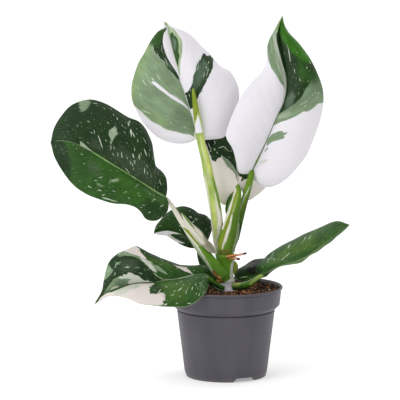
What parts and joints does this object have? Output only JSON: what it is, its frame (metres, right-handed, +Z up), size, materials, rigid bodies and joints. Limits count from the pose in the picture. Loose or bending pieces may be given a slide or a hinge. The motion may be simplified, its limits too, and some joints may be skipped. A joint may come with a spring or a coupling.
{
  "type": "potted white wizard philodendron",
  "caption": "Young climbing aroid with white, sage and dark green variegated heart-shaped leaves on thick petioles, in a round grey moulded nursery pot of potting mix.",
  "frame": {"origin": "centre of the pot's flat underside", "axes": "+Z up along the pot's axis, -Y the front that the picture shows, +X to the right seen from the front"},
  "size_m": [0.3148, 0.1468, 0.3787],
  "materials": {
    "pot": "satin",
    "soil": "matte",
    "stem": "satin",
    "petiole_pale_green": "satin",
    "petiole_dark": "satin",
    "petiole_cream": "satin",
    "aerial_root": "matte",
    "leaf_sage_white": "satin",
    "leaf_dark": "satin",
    "leaf_mixed": "satin"
  },
  "bodies": {
    "root": {"pot": "pot", "soil": "soil", "stem": "stem", "petiole_upper_left": "petiole_pale_green", "new_leaf_spear": "petiole_pale_green", "petiole_back": "stem", "petiole_back_sheath": "leaf_dark", "petiole_upper_right": "petiole_dark", "petiole_left": "petiole_cream", "petiole_left_sheath": "petiole_cream", "petiole_small": "petiole_dark", "petiole_lower_left": "petiole_dark", "petiole_right": "stem", "bud_right": "stem", "aerial_root_long": "aerial_root", "aerial_root_short": "aerial_root", "leaf_upper_left": "leaf_sage_white", "leaf_upper_right": "leaf_sage_white", "leaf_back": "leaf_sage_white", "leaf_left": "leaf_dark", "leaf_small": "leaf_dark", "leaf_lower_left": "leaf_mixed", "leaf_right": "leaf_mixed"}
  },
  "joints": []
}
